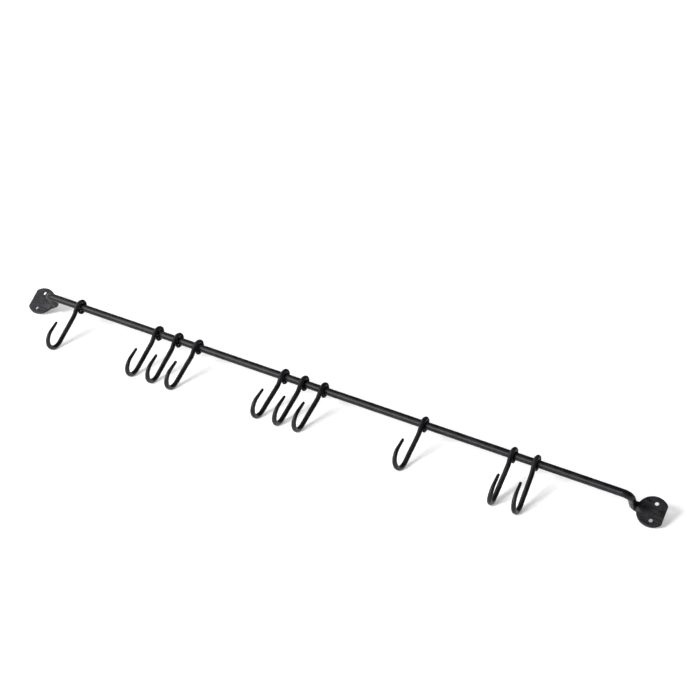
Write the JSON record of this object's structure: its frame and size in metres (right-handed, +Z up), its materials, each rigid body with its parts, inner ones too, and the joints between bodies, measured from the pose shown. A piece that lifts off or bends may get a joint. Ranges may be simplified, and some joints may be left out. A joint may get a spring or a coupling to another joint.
{
  "type": "hook rack",
  "caption": "Forged iron wall rack: a round rail cranked back into two flat wall plates, with J hooks that hang and slide on it by curled eyes.",
  "frame": {"origin": "on the wall plane, midway between the two wall plates and level with the rail", "axes": "+X along the rail, +Y into the wall (the room is on the -Y side), +Z up"},
  "size_m": [1.0228, 0.0966, 0.1065],
  "materials": {
    "rail_iron": "satin black over forged iron, hammered at the plates",
    "hook_iron": "satin black over forged iron, a little rougher than the rail"
  },
  "bodies": {
    "rail": {"rail": "rail_iron"},
    "hook_01": {"hook_01": "hook_iron"},
    "hook_02": {"hook_02": "hook_iron"},
    "hook_03": {"hook_03": "hook_iron"},
    "hook_04": {"hook_04": "hook_iron"},
    "hook_05": {"hook_05": "hook_iron"},
    "hook_06": {"hook_06": "hook_iron"},
    "hook_07": {"hook_07": "hook_iron"},
    "hook_08": {"hook_08": "hook_iron"},
    "hook_09": {"hook_09": "hook_iron"},
    "hook_10": {"hook_10": "hook_iron"}
  },
  "joints": [
    {"name": "hook_01_slide", "type": "slide", "parent": "rail", "child": "hook_01", "axis": [1, 0, 0], "range_m": [-0.048, 0.133]},
    {"name": "hook_02_slide", "type": "slide", "parent": "rail", "child": "hook_02", "axis": [1, 0, 0], "range_m": [-0.133, 0.027]},
    {"name": "hook_03_slide", "type": "slide", "parent": "rail", "child": "hook_03", "axis": [1, 0, 0], "range_m": [-0.027, 0.025]},
    {"name": "hook_04_slide", "type": "slide", "parent": "rail", "child": "hook_04", "axis": [1, 0, 0], "range_m": [-0.025, 0.135]},
    {"name": "hook_05_slide", "type": "slide", "parent": "rail", "child": "hook_05", "axis": [1, 0, 0], "range_m": [-0.135, 0.024]},
    {"name": "hook_06_slide", "type": "slide", "parent": "rail", "child": "hook_06", "axis": [1, 0, 0], "range_m": [-0.024, 0.0232]},
    {"name": "hook_07_slide", "type": "slide", "parent": "rail", "child": "hook_07", "axis": [1, 0, 0], "range_m": [-0.0232, 0.1445]},
    {"name": "hook_08_slide", "type": "slide", "parent": "rail", "child": "hook_08", "axis": [1, 0, 0], "range_m": [-0.1445, 0.1218]},
    {"name": "hook_09_slide", "type": "slide", "parent": "rail", "child": "hook_09", "axis": [1, 0, 0], "range_m": [-0.1218, 0.025]},
    {"name": "hook_10_slide", "type": "slide", "parent": "rail", "child": "hook_10", "axis": [1, 0, 0], "range_m": [-0.025, 0.112]}
  ]
}
